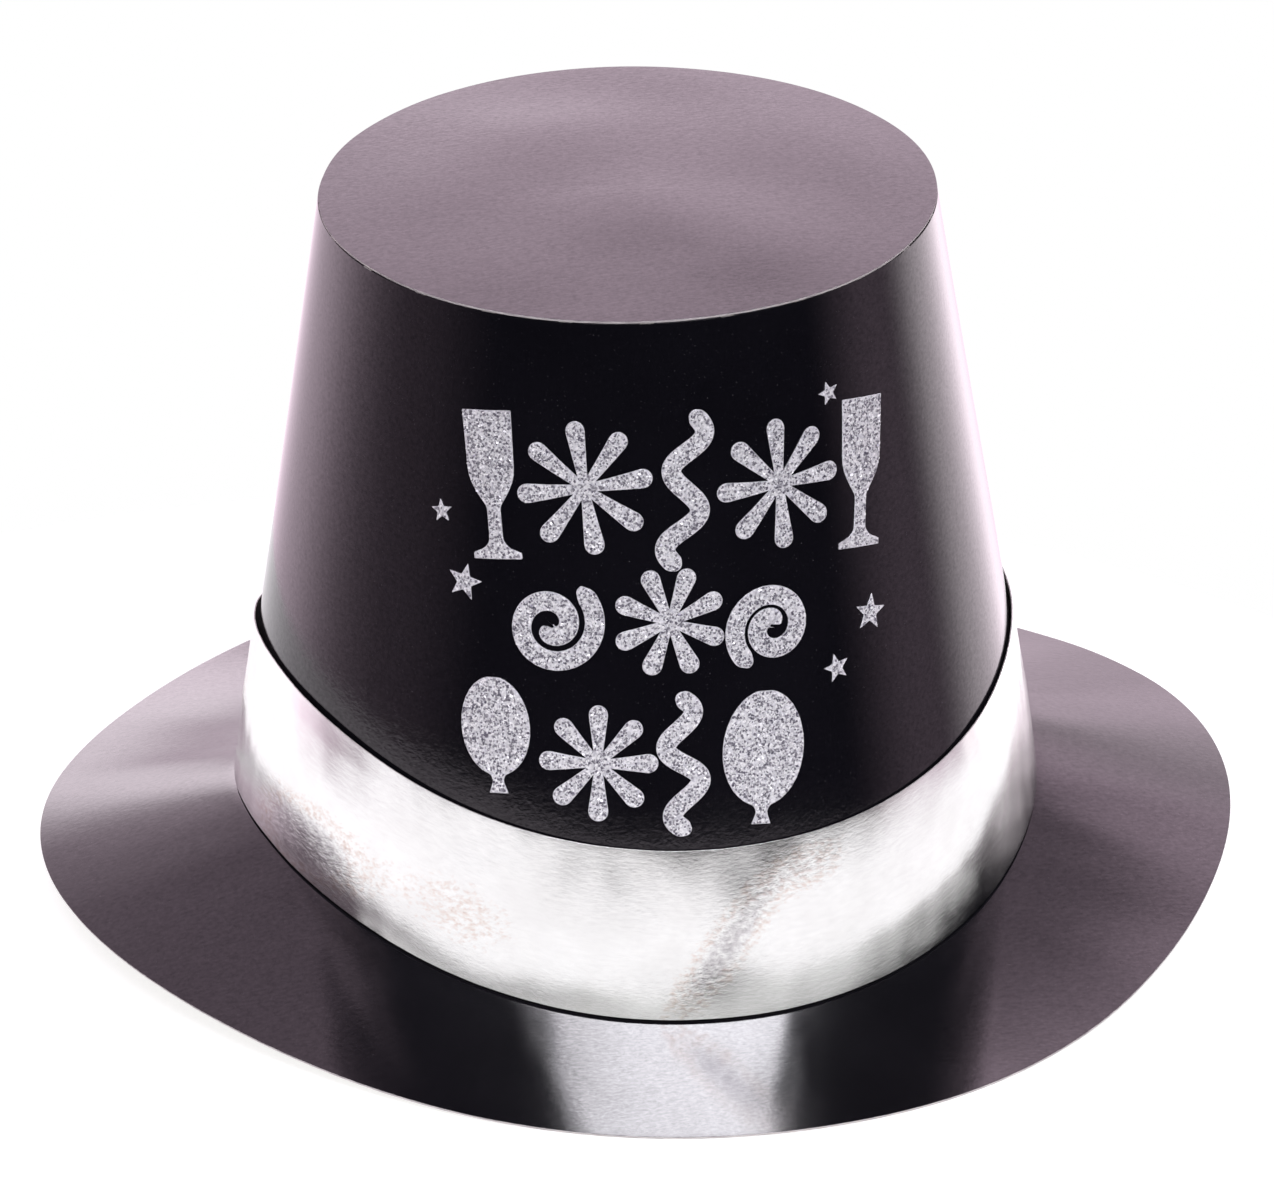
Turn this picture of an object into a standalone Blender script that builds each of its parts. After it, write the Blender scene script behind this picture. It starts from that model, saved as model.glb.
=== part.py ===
"""New year party hat made of card: a tapered crown, a flat top, a saddle-shaped brim,
a foil band and a glitter print.

Units are metres. +Z is up, the wearer looks along -Y and the origin is the centre of the
hat's footprint, on the surface that the brim's edge rests on. Angles run round the crown
from the front, towards +X.
"""
import math

import bmesh
import bpy

MM = 0.001

# Crown: a rolled card cone. Heights are measured from the mean plane of its lower edge.
BASE_RADIUS = 92.0 * MM
TOP_RADIUS = 69.5 * MM
CROWN_HEIGHT = 151.5 * MM
CARD = 0.5 * MM

# The crown's lower edge is cut in a wave: low at front and back, high at the sides.
EDGE_WAVE = 10.0 * MM
EDGE_WAVE_FINE = 0.75 * MM

# Brim: its width and its slope, in degrees, vary round the hat.
BRIM_WIDTH = 47.4 * MM
BRIM_WIDTH_WAVE = 3.0 * MM
BRIM_WIDTH_WAVE_FINE = 3.1 * MM
BRIM_SLOPE = -9.0
BRIM_SLOPE_WAVE = 6.6
BRIM_SLOPE_WAVE_FINE = 0.8

# Foil band: it sits on the brim and stands off the crown at its upper edge.
BAND_WIDTH = 39.5 * MM
BAND_CARD = 0.3 * MM
BAND_STANDOFF = 0.9 * MM
BAND_STANDOFF_WAVE = 0.4 * MM

# Folded tabs and lapped seams.
TOP_TAB = 11.0 * MM
BRIM_TAB = 8.0 * MM
SEAM_ANGLE = 172.0
TAPE_MARGIN = 2.0 * MM
BRIM_GLUE_HEIGHT = 5.0 * MM

# Clearances: between touching pieces, and the glue that fills a joint.
GAP = 0.3 * MM
GLUE = 0.3 * MM
JOINT_SPACE = GAP + GLUE + GAP

# Print: the artwork is drawn 100 units tall and scaled to the bare wall.
PRINT_ANGLE = -8.0
PRINT_MARGIN_TOP = 19.0 * MM
PRINT_MARGIN_BOTTOM = 2.5 * MM
PRINT_THICKNESS = 0.3 * MM
STROKE = 5.6
STAR_WAIST = 0.42

# Facets.
COLUMNS = 96
COLUMN_ANGLE = 360.0 / COLUMNS
TAB_PITCH = 4
LAP_COLUMNS = 3
BLEND_COLUMNS = 8


# ---------------------------------------------------------------- shared shape

def edge_height(angle):
    """Height of the crown's lower edge."""
    turn = math.radians(angle)
    return -EDGE_WAVE * math.cos(2 * turn) + EDGE_WAVE_FINE * math.cos(4 * turn)


def crown_radius(height):
    """Radius of the crown's outer face."""
    return BASE_RADIUS + (TOP_RADIUS - BASE_RADIUS) * height / CROWN_HEIGHT


def brim_width(angle):
    turn = math.radians(angle)
    wave = BRIM_WIDTH_WAVE * math.cos(2 * turn) + BRIM_WIDTH_WAVE_FINE * math.cos(4 * turn)
    return BRIM_WIDTH + wave


def brim_slope(angle):
    """Slope of the brim outwards, in radians, negative when it falls."""
    turn = math.radians(angle)
    wave = BRIM_SLOPE_WAVE * math.cos(2 * turn) + BRIM_SLOPE_WAVE_FINE * math.cos(4 * turn)
    return math.radians(BRIM_SLOPE + wave)


def place(angle, radius, height):
    turn = math.radians(angle)
    return (radius * math.sin(turn), -radius * math.cos(turn), height)


def smooth(share):
    share = min(max(share, 0.0), 1.0)
    return share * share * (3.0 - 2.0 * share)


def seam_start():
    return SEAM_ANGLE - LAP_COLUMNS * COLUMN_ANGLE / 2


def ring_angles():
    """The angles of every closed ring, so that all rings share their facets."""
    return [seam_start() + index * COLUMN_ANGLE for index in range(COLUMNS)]


def lap_angles():
    """The angles of a rolled sheet, whose last columns lie over its first."""
    return [seam_start() + index * COLUMN_ANGLE for index in range(COLUMNS + LAP_COLUMNS + 1)]


def wall_inset(column):
    """How far the crown sheet's outer face lies inside the cone, at its under-lap."""
    blend = smooth((column - LAP_COLUMNS) / BLEND_COLUMNS)
    return (CARD + JOINT_SPACE) * (1.0 - blend)


def wall_inner_inset(column):
    """How far the crown's innermost face lies inside the cone."""
    return wall_inset(column) + CARD


# ---------------------------------------------------------------- building tools

def clear_scene():
    for item in list(bpy.data.objects):
        bpy.data.objects.remove(item, do_unlink=True)


def make_material(name, colour, roughness, metallic):
    material = bpy.data.materials.new(name)
    material.use_nodes = True
    shader = material.node_tree.nodes["Principled BSDF"]
    shader.inputs["Base Color"].default_value = (*colour, 1.0)
    shader.inputs["Roughness"].default_value = roughness
    shader.inputs["Metallic"].default_value = metallic
    return material


def add_object(name, vertices, faces, material, parent):
    mesh = bpy.data.meshes.new(name)
    mesh.from_pydata(vertices, [], faces)
    mesh.materials.append(material)
    item = bpy.data.objects.new(name, mesh)
    item.parent = parent
    bpy.context.scene.collection.objects.link(item)
    return item


def add_sheet(name, vertices, faces, thickness, material, parent):
    """A sheet whose faces are its outer side. Its thickness goes the other way."""
    item = add_object(name, vertices, faces, material, parent)
    item.data.shade_smooth()
    item.data.set_sharp_from_angle(angle=math.radians(30))
    solid = item.modifiers.new("Thickness", "SOLIDIFY")
    solid.thickness = thickness
    solid.offset = -1.0
    solid.use_even_offset = True
    return item


def grid_faces(columns, rows, closed, is_notch=None):
    """Quads of a grid whose points run up each column in turn."""
    faces = []
    spans = columns if closed else columns - 1
    for column in range(spans):
        for row in range(rows - 1):
            if is_notch and is_notch(column, row):
                continue
            left = column * rows + row
            right = ((column + 1) % columns) * rows + row
            faces.append((left, right, right + 1, left + 1))
    return faces


def blend_points(start, end, steps):
    """The points from start to end, both included."""
    return [tuple(a + (b - a) * step / steps for a, b in zip(start, end))
            for step in range(steps + 1)]


# ---------------------------------------------------------------- crown

def add_crown_wall(material, parent):
    rows_up = 3
    points = []
    for column, angle in enumerate(lap_angles()):
        inset = wall_inset(column)
        low = edge_height(angle)
        foot = place(angle, crown_radius(low) - inset, low)
        head = place(angle, TOP_RADIUS - inset, CROWN_HEIGHT)
        tab_end = place(angle, TOP_RADIUS - inset - TOP_TAB, CROWN_HEIGHT)
        points += blend_points(foot, head, rows_up) + [tab_end]

    first_tab = LAP_COLUMNS + BLEND_COLUMNS + 1

    def is_notch(column, row):
        if row < rows_up:
            return False
        return column < first_tab or column >= COLUMNS or column % TAB_PITCH == 0

    columns = COLUMNS + LAP_COLUMNS + 1
    faces = grid_faces(columns, rows_up + 2, False, is_notch)
    points, faces = drop_unused(points, faces)
    return add_sheet("crown_wall", points, faces, CARD, material, parent)


def drop_unused(points, faces):
    """Leave out the points that no face uses."""
    used = sorted({index for face in faces for index in face})
    new_index = {old: new for new, old in enumerate(used)}
    faces = [tuple(new_index[index] for index in face) for face in faces]
    return [points[index] for index in used], faces


def add_crown_seam_tape(material, parent):
    """The strip of tape between the two layers of the crown's lapped seam."""
    points = []
    inset = CARD + GAP
    for column in range(LAP_COLUMNS + 1):
        angle = seam_start() + column * COLUMN_ANGLE
        side = 1 if column == 0 else -1 if column == LAP_COLUMNS else 0
        low = edge_height(angle) + TAPE_MARGIN
        high = CROWN_HEIGHT - TAPE_MARGIN
        trim = side * math.degrees(TAPE_MARGIN / BASE_RADIUS)
        foot = place(angle + trim, crown_radius(low) - inset, low)
        head = place(angle + trim, crown_radius(high) - inset, high)
        points += [foot, head]
    faces = grid_faces(LAP_COLUMNS + 1, 2, False)
    return add_sheet("crown_seam_tape", points, faces, GLUE, material, parent)


def add_top_disc(material, parent):
    mesh = bpy.data.meshes.new("top_disc")
    disc = bmesh.new()
    bmesh.ops.create_cone(disc, cap_ends=True, segments=COLUMNS, radius1=TOP_RADIUS,
                          radius2=TOP_RADIUS, depth=CARD)
    disc.to_mesh(mesh)
    disc.free()
    mesh.materials.append(material)
    mesh.shade_smooth()
    mesh.set_sharp_from_angle(angle=math.radians(30))
    item = bpy.data.objects.new("top_disc", mesh)
    item.location.z = CROWN_HEIGHT + JOINT_SPACE + CARD / 2
    item.parent = parent
    bpy.context.scene.collection.objects.link(item)
    return item


def add_top_glue(material, parent):
    """The ring of glue between the crown's folded tabs and the top disc."""
    outer = TOP_RADIUS - TAPE_MARGIN
    inner = TOP_RADIUS - TOP_TAB + TAPE_MARGIN
    height = CROWN_HEIGHT + GAP + GLUE
    points = []
    for angle in ring_angles():
        points += [place(angle, outer, height), place(angle, inner, height)]
    faces = grid_faces(COLUMNS, 2, True)
    return add_sheet("top_glue_ring", points, faces, GLUE, material, parent)


# ---------------------------------------------------------------- brim

def brim_point(angle, reach):
    """A point of the brim's upper face, a reach outwards from the crown's lower edge.

    Inside the crown, where the reach is negative, the brim is level.
    """
    low = edge_height(angle)
    slope = brim_slope(angle) if reach > 0.0 else 0.0
    radius = crown_radius(low) + reach * math.cos(slope)
    return place(angle, radius, low - GAP + reach * math.sin(slope))


def add_brim(material, parent):
    rows_out = 3
    points = []
    for column, angle in enumerate(ring_angles()):
        tab_inset = wall_inner_inset(column) + JOINT_SPACE
        edge = brim_point(angle, brim_width(angle))
        bend = brim_point(angle, 0.0)
        fold = brim_point(angle, -tab_inset)
        tab_top = edge_height(angle) + BRIM_TAB
        tab_end = place(angle, crown_radius(tab_top) - tab_inset, tab_top)
        points += blend_points(edge, bend, rows_out) + [fold, tab_end]

    def is_notch(column, row):
        return row == rows_out + 1 and column % TAB_PITCH == 0

    faces = grid_faces(COLUMNS, rows_out + 3, True, is_notch)
    return add_sheet("brim", points, faces, CARD, material, parent)


def add_brim_glue(material, parent):
    """The ring of glue between the crown's inner face and the brim's tabs."""
    points = []
    for column, angle in enumerate(ring_angles()):
        inset = wall_inner_inset(column) + GAP
        low = edge_height(angle) + TAPE_MARGIN
        high = low + BRIM_GLUE_HEIGHT
        points += [place(angle, crown_radius(low) - inset, low),
                   place(angle, crown_radius(high) - inset, high)]
    faces = grid_faces(COLUMNS, 2, True)
    return add_sheet("brim_glue_ring", points, faces, GLUE, material, parent)


def resting_height():
    """Depth of the brim's lowest edge below the mean plane of the crown's lower edge."""
    depths = []
    for angle in ring_angles():
        edge = brim_point(angle, brim_width(angle))
        depths.append(CARD * math.cos(brim_slope(angle)) - edge[2])
    return max(depths)


# ---------------------------------------------------------------- foil band

def band_outset(angle, lap, height_share):
    """How far the band's outer face stands outside the crown."""
    turn = math.radians(angle)
    standoff = BAND_STANDOFF - BAND_STANDOFF_WAVE * math.cos(2 * turn)
    return GAP + BAND_CARD + standoff * height_share + lap


def add_band(material, parent):
    rows_up = 2
    points = []
    for column, angle in enumerate(lap_angles()):
        lap = (BAND_CARD + JOINT_SPACE) * smooth((column - COLUMNS + BLEND_COLUMNS) / BLEND_COLUMNS)
        low = edge_height(angle) + GAP
        high = edge_height(angle) + BAND_WIDTH
        foot = place(angle, crown_radius(low) + band_outset(angle, lap, 0.0), low)
        head = place(angle, crown_radius(high) + band_outset(angle, lap, 1.0), high)
        points += blend_points(foot, head, rows_up)
    faces = grid_faces(COLUMNS + LAP_COLUMNS + 1, rows_up + 1, False)
    return add_sheet("foil_band", points, faces, BAND_CARD, material, parent)


def add_band_seam_tape(material, parent):
    """The strip of tape between the two layers of the band's lapped seam."""
    points = []
    for column in range(LAP_COLUMNS + 1):
        side = 1 if column == 0 else -1 if column == LAP_COLUMNS else 0
        trim = side * math.degrees(TAPE_MARGIN / BASE_RADIUS)
        angle = seam_start() + column * COLUMN_ANGLE + trim
        for rise in (TAPE_MARGIN, BAND_WIDTH - TAPE_MARGIN):
            height = edge_height(angle) + rise
            outset = band_outset(angle, GAP + GLUE, rise / BAND_WIDTH)
            points.append(place(angle, crown_radius(height) + outset, height))
    faces = grid_faces(LAP_COLUMNS + 1, 2, False)
    return add_sheet("band_seam_tape", points, faces, GLUE, material, parent)


# ---------------------------------------------------------------- glitter print
# Each motif is a flat outline, drawn about its own centre in artwork units (x to the
# viewer's right, y up), then wrapped on the crown.

def turned(x, y, degrees):
    turn = math.radians(degrees)
    return (x * math.cos(turn) - y * math.sin(turn), x * math.sin(turn) + y * math.cos(turn))


def star_outline(radius):
    """A five-pointed star, as a fan of triangles."""
    points = [(0.0, 0.0)]
    for index in range(10):
        reach = radius if index % 2 == 0 else radius * STAR_WAIST
        points.append(turned(0.0, reach, 36.0 * index))
    faces = [(0, 1 + index, 1 + (index + 1) % 10) for index in range(10)]
    return points, faces


def burst_outline(radius, rays=8, width=STROKE * 0.8):
    """A firework burst: round-ended rays that narrow to the centre, where they meet."""
    half = width / 2
    notch = half * 0.5 / math.sin(math.pi / rays)
    shoulder = radius - half
    pairs = [((notch + shoulder) / 2, half * 0.75)]
    for degrees in (90, 60, 30):
        swing = math.radians(degrees)
        pairs.append((shoulder + half * math.cos(swing), half * math.sin(swing)))
    points = [(0.0, 0.0)]
    faces = []
    for index in range(rays):
        points.append(turned(notch, 0.0, 360.0 * (index - 0.5) / rays))
    for index in range(rays):
        turn = 360.0 * index / rays
        low = 1 + index
        high = 1 + (index + 1) % rays
        faces.append((0, low, high))
        for along, across in pairs:
            points.append(turned(along, -across, turn))
            points.append(turned(along, across, turn))
            faces.append((low, len(points) - 2, len(points) - 1, high))
            low, high = len(points) - 2, len(points) - 1
        points.append(turned(radius, 0.0, turn))
        faces.append((low, len(points) - 1, high))
    return points, faces


def ribbon_outline(path, width=STROKE):
    """A stroke of even width with round ends, along a list of points."""
    lengths = [0.0]
    for before, after in zip(path, path[1:]):
        lengths.append(lengths[-1] + math.dist(before, after))
    half = width / 2
    points = []
    for index, centre in enumerate(path):
        before = path[max(index - 1, 0)]
        after = path[min(index + 1, len(path) - 1)]
        run = math.dist(before, after)
        across = ((before[1] - after[1]) / run, (after[0] - before[0]) / run)
        from_end = min(lengths[index], lengths[-1] - lengths[index], half)
        reach = max(math.sqrt(half ** 2 - (half - from_end) ** 2), half * 0.35)
        points.append((centre[0] - across[0] * reach, centre[1] - across[1] * reach))
        points.append((centre[0] + across[0] * reach, centre[1] + across[1] * reach))
    faces = []
    for index in range(len(path) - 1):
        low = 2 * index
        faces.append((low, low + 2, low + 3, low + 1))
    return points, faces


def streamer_outline(height, sway=3.6, waves=2.0, steps=36):
    """A wavy party streamer that hangs straight down."""
    path = []
    for step in range(steps + 1):
        share = step / steps
        path.append((sway * math.sin(2 * math.pi * waves * share), height * (0.5 - share)))
    return ribbon_outline(path, STROKE * 0.8)


def swirl_outline(radius, turns=1.6, steps=44):
    """A streamer curled into a spiral."""
    path = []
    outer = radius - STROKE / 2
    for step in range(steps + 1):
        share = step / steps
        reach = outer * (0.12 + 0.88 * share)
        turn = 2 * math.pi * turns * share
        path.append((reach * math.cos(turn), reach * math.sin(turn)))
    return ribbon_outline(path, STROKE * 0.8)


def profile_outline(rows):
    """A figure that is the same on both sides, from rows of (height, half width)."""
    points = []
    faces = []
    for height, half in rows:
        points += [(-half, height), (0.0, height), (half, height)]
    for index in range(len(rows) - 1):
        low = 3 * index
        for side in (0, 1):
            faces.append((low + side, low + side + 1, low + side + 4, low + side + 3))
    return points, faces


def flute_outline(height):
    """A tall drinking glass on a stem and a foot."""
    rim, bowl, stem, foot = 6.2, 12.0, 1.6, 5.6
    low = -height / 2
    rows = [(low, foot), (low + 1.4, foot), (low + 2.6, foot * 0.5), (low + 4.2, stem),
            (low + bowl, stem)]
    for share in (0.2, 0.4, 0.6, 0.8, 1.0):
        rise = bowl + 9.0 * share
        rows.append((low + rise, stem + (rim * 0.92 - stem) * math.sin(share * math.pi / 2)))
    rows.append((height / 2, rim))
    return profile_outline(rows)


def balloon_outline(height):
    """A round balloon with its knot."""
    knot = 4.0
    tall = (height - knot) / 2
    wide = tall * 0.72
    low = -height / 2
    rows = [(low, 2.2), (low + knot * 0.7, 1.2)]
    for step in range(1, 16):
        turn = math.pi * step / 16
        rows.append((low + knot + tall * (1.0 - math.cos(turn)), wide * math.sin(turn)))
    return profile_outline(rows)


OUTLINES = {"star": star_outline, "burst": burst_outline, "streamer": streamer_outline,
            "swirl": swirl_outline, "flute": flute_outline, "balloon": balloon_outline}

# Node, outline, size, place across from the print's centre line, height, tilt in degrees.
MOTIFS = (
    ("glitter_flute_1", "flute", 34.0, -42.0, 80.0, 8.0),
    ("glitter_burst_1", "burst", 15.5, -20.5, 81.5, 10.0),
    ("glitter_streamer_1", "streamer", 36.0, 2.0, 80.5, -6.0),
    ("glitter_burst_2", "burst", 15.0, 24.0, 79.0, 0.0),
    ("glitter_flute_2", "flute", 34.0, 46.0, 76.0, -10.0),
    ("glitter_swirl_1", "swirl", 13.5, -29.0, 49.5, 200.0),
    ("glitter_burst_3", "burst", 13.0, -2.5, 50.5, 22.5),
    ("glitter_swirl_2", "swirl", 12.5, 21.0, 46.5, 20.0),
    ("glitter_balloon_1", "balloon", 27.0, -43.0, 22.5, 6.0),
    ("glitter_burst_4", "burst", 13.5, -19.5, 18.0, 0.0),
    ("glitter_streamer_2", "streamer", 32.0, -0.5, 17.5, 4.0),
    ("glitter_balloon_2", "balloon", 31.0, 18.0, 17.0, -6.0),
    ("glitter_star_1", "star", 2.8, -55.0, 71.5, 12.0),
    ("glitter_star_2", "star", 4.4, -49.5, 56.5, -8.0),
    ("glitter_star_3", "star", 2.8, 37.5, 96.5, 10.0),
    ("glitter_star_4", "star", 4.4, 47.0, 43.5, -14.0),
    ("glitter_star_5", "star", 3.4, 37.0, 33.5, 8.0),
)


def print_floor():
    """Height of the artwork's lower edge, just above the band at the front."""
    return edge_height(PRINT_ANGLE) + BAND_WIDTH + PRINT_MARGIN_BOTTOM


def artwork_unit():
    return (CROWN_HEIGHT - PRINT_MARGIN_TOP - print_floor()) / 100.0


def add_motif(name, outline, size, across, up, tilt, material, parent):
    flat, faces = OUTLINES[outline](size)
    unit = artwork_unit()
    centre = print_floor() + up * unit
    outset = GAP + PRINT_THICKNESS
    points = []
    for x, y in flat:
        right, rise = turned(x, y, tilt)
        height = centre + rise * unit
        angle = PRINT_ANGLE + math.degrees((across + right) * unit / crown_radius(centre))
        points.append(place(angle, crown_radius(height) + outset, height))
    return add_sheet(name, points, faces, PRINT_THICKNESS, material, parent)


# ---------------------------------------------------------------- assembly

def build_hat():
    clear_scene()
    hat = bpy.data.objects.new("hat_frame", None)
    hat.location.z = resting_height()
    bpy.context.scene.collection.objects.link(hat)

    black = make_material("black_card", (0.008, 0.007, 0.008), 0.22, 0.0)
    grain = make_material("black_card_top", (0.014, 0.011, 0.013), 0.38, 0.0)
    foil = make_material("silver_foil", (0.80, 0.79, 0.81), 0.22, 1.0)
    glitter = make_material("silver_glitter", (0.45, 0.42, 0.47), 0.40, 0.8)
    glue = make_material("glue", (0.80, 0.78, 0.68), 0.35, 0.0)
    tape = make_material("clear_tape", (0.72, 0.70, 0.62), 0.30, 0.0)

    add_crown_wall(black, hat)
    add_crown_seam_tape(tape, hat)
    add_top_disc(grain, hat)
    add_top_glue(glue, hat)
    add_brim(black, hat)
    add_brim_glue(glue, hat)
    add_band(foil, hat)
    add_band_seam_tape(tape, hat)
    for motif in MOTIFS:
        add_motif(*motif, glitter, hat)


build_hat()
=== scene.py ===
import math
import random

import bpy
from mathutils import Matrix, Vector, kdtree, noise


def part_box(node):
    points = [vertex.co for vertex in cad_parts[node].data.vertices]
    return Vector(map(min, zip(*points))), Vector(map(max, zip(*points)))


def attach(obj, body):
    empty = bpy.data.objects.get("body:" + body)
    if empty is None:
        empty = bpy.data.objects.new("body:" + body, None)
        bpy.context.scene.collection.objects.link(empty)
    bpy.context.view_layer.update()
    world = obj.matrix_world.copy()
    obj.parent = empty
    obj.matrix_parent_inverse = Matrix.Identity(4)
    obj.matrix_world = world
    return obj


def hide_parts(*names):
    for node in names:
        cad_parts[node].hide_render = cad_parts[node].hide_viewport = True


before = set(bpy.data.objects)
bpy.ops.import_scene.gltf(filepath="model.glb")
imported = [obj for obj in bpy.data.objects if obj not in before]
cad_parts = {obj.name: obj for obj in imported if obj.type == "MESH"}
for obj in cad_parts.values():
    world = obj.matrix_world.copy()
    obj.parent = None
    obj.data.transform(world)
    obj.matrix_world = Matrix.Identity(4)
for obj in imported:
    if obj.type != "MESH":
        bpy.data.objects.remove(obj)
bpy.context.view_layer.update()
MM = 0.001


# ---------------------------------------------------------------- crown wall
# One blank of 0.5 mm board, coated glossy black on its face and plain on its back. It is
# rolled into a cone and lapped at the back of the hat, and the tabs along its top edge
# are folded in to carry the top.

CARD = 0.5 * MM
EDGE_ROUNDING = 0.06 * MM
GLUE_SPACE = 0.9 * MM
BASE_RADIUS = 92.0 * MM
CUT_WAVE = 10.0 * MM
CUT_WAVE_FINE = 0.75 * MM
CROWN_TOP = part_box("crown_wall")[1].z
CUT_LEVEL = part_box("crown_wall")[0].z + CUT_WAVE - CUT_WAVE_FINE
CROWN_TALL = CROWN_TOP - CUT_LEVEL
TOP_RADIUS = (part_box("top_disc")[1].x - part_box("top_disc")[0].x) / 2
TOP_TAB = 11.0 * MM
TAB_ANGLE = 15.0
TAB_SLIT = 2.5
LAP_ANGLE = 11.25
LAP_BLEND = 30.0
SEAM_ANGLE = 172.0 - LAP_ANGLE / 2
FACE, BACK, CUT = 0, 1, 2


def cut_height(angle):
    """How far the crown's lower edge lies above its mean level."""
    turn = math.radians(angle)
    return -CUT_WAVE * math.cos(2 * turn) + CUT_WAVE_FINE * math.cos(4 * turn)


def cone_radius(height):
    return BASE_RADIUS + (TOP_RADIUS - BASE_RADIUS) * height / CROWN_TALL


def round_hat(angle, radius, height):
    """A point at an angle from the front, a radius and a height above the mean edge."""
    turn = math.radians(angle)
    return Vector((radius * math.sin(turn), -radius * math.cos(turn), CUT_LEVEL + height))


def smooth(share):
    share = min(max(share, 0.0), 1.0)
    return share * share * (3.0 - 2.0 * share)


def card_slack(angle, height):
    """The slight unevenness of rolled card, which dies out at its edges and its seam."""
    from_seam = abs((angle - SEAM_ANGLE - LAP_ANGLE / 2 + 180.0) % 360.0 - 180.0)
    hold = smooth((from_seam - 12.0) / 30.0)
    rise = (height - cut_height(angle)) / (CROWN_TALL - cut_height(angle))
    hold *= math.sin(math.pi * min(max(rise, 0.0), 1.0)) ** 0.5
    turn = math.radians(angle)
    place = Vector((math.sin(turn) * 2.2, math.cos(turn) * 2.2, height * 9.0))
    return 0.35 * MM * hold * noise.noise(place)


def under_lap(angle_along):
    """How far the start of a rolled blank is tucked under its end."""
    return (CARD + GLUE_SPACE) * (1.0 - smooth((angle_along - LAP_ANGLE) / LAP_BLEND))


def deselect_all():
    bpy.ops.object.select_all(action="DESELECT")


def only(piece):
    deselect_all()
    piece.select_set(True)
    bpy.context.view_layer.objects.active = piece


def card_blank(name, columns, rows):
    """A flat blank, one unit square. Its UV map keeps its flat shape after it is rolled."""
    deselect_all()
    bpy.ops.mesh.primitive_grid_add(x_subdivisions=columns, y_subdivisions=rows, size=1.0,
                                    location=(0.5, 0.5, 0.0), calc_uvs=True)
    bpy.ops.object.transform_apply(location=True)
    blank = bpy.context.object
    blank.name = name
    blank.data.name = name
    return blank


def cut_away(blank, is_waste):
    """Cuts out the faces of a blank whose middle is_waste says yes to."""
    only(blank)
    bpy.context.tool_settings.mesh_select_mode = (False, False, True)
    for polygon in blank.data.polygons:
        polygon.select = is_waste(polygon.center.x, polygon.center.y)
    bpy.ops.object.mode_set(mode="EDIT")
    bpy.ops.mesh.delete(type="FACE")
    bpy.ops.object.mode_set(mode="OBJECT")


def roll(blank, rolled):
    """Brings each point of a flat blank to its place on the hat."""
    for vertex in blank.data.vertices:
        vertex.co = rolled(vertex.co.x, vertex.co.y)
    blank.data.update()


def close_ring(blank, reach=0.02 * MM):
    """Joins the points of a sheet that lie within reach of each other."""
    only(blank)
    bpy.ops.object.mode_set(mode="EDIT")
    bpy.ops.mesh.select_all(action="SELECT")
    bpy.ops.mesh.remove_doubles(threshold=reach)
    bpy.ops.object.mode_set(mode="OBJECT")


def thicken(blank, thickness, rounding, finishes):
    """Gives a sheet its thickness. Its finishes are those of its face, back and cut edge."""
    only(blank)
    for finish in finishes:
        blank.data.materials.append(finish)
    solid = blank.modifiers.new("Board", "SOLIDIFY")
    solid.thickness = thickness
    solid.offset = -1.0
    solid.use_even_offset = True
    solid.material_offset = BACK
    solid.material_offset_rim = CUT
    bpy.ops.object.modifier_apply(modifier=solid.name)
    bevel = blank.modifiers.new("Soft edge", "BEVEL")
    bevel.width = rounding
    bevel.segments = 2
    bevel.limit_method = "ANGLE"
    bevel.angle_limit = math.radians(50)
    bpy.ops.object.modifier_apply(modifier=bevel.name)
    bpy.ops.object.shade_smooth_by_angle(angle=math.radians(50))
    even = blank.modifiers.new("Even shading", "WEIGHTED_NORMAL")
    even.mode = "FACE_AREA"
    even.weight = 100
    even.keep_sharp = True
    bpy.ops.object.modifier_apply(modifier=even.name)


def fit(piece, node):
    """Puts a finished piece in the place of its plain solid."""
    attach(piece, "root")
    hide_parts(node)


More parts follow.
